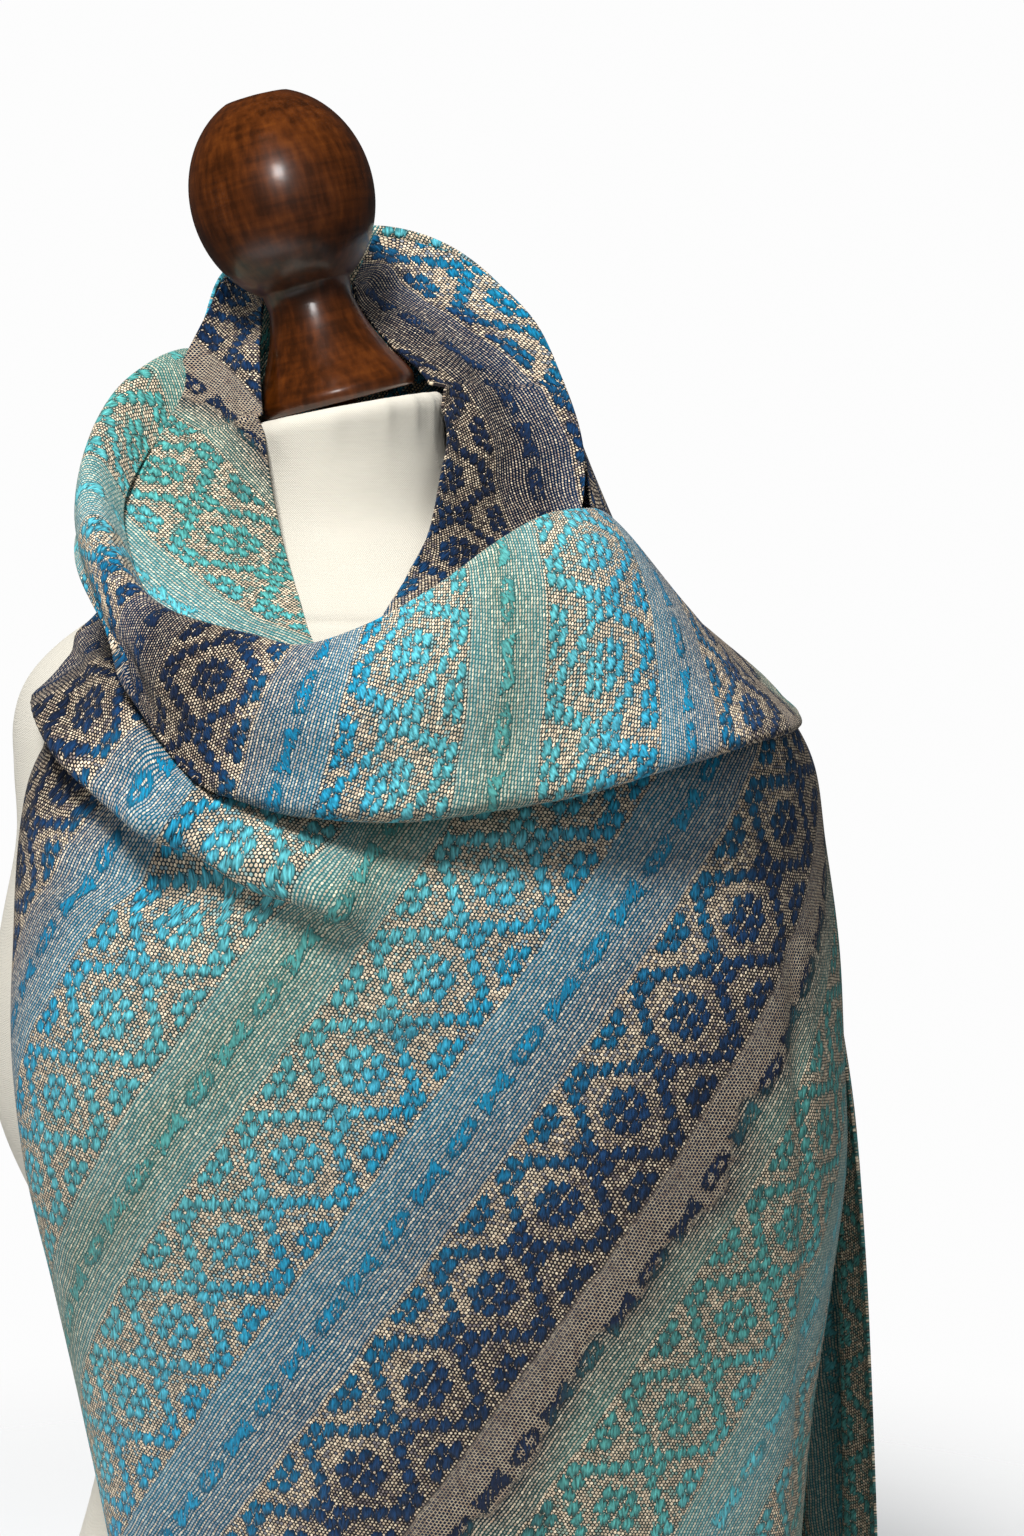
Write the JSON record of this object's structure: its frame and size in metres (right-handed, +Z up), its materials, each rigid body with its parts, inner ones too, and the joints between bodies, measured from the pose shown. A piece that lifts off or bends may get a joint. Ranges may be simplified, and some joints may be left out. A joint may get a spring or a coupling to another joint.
{
  "type": "shawl on dress form",
  "caption": "Handwoven shawl wound once round the neck of a limbless dress form, one end over the chest and the other thrown over the near shoulder.",
  "frame": {"origin": "centre of the form's flat underside", "axes": "+Z up, the form's front faces -Y and its own left is +X; the swag faces 30 degrees round from -Y towards +X"},
  "size_m": [0.4415, 0.4176, 0.9025],
  "materials": {
    "linen": "matte plain-woven cream linen",
    "varnished_wood": "dark brown turned wood with gloss varnish",
    "shawl_cloth": "soft handwoven cloth with lustrous blue and turquoise pattern threads on beige"
  },
  "bodies": {
    "root": {"form_body": "linen", "neck_finial": "varnished_wood", "front_sheet": "shawl_cloth", "back_tail": "shawl_cloth", "neck_left": "shawl_cloth", "neck_right": "shawl_cloth", "neck_back": "shawl_cloth", "cowl": "shawl_cloth"}
  },
  "joints": []
}
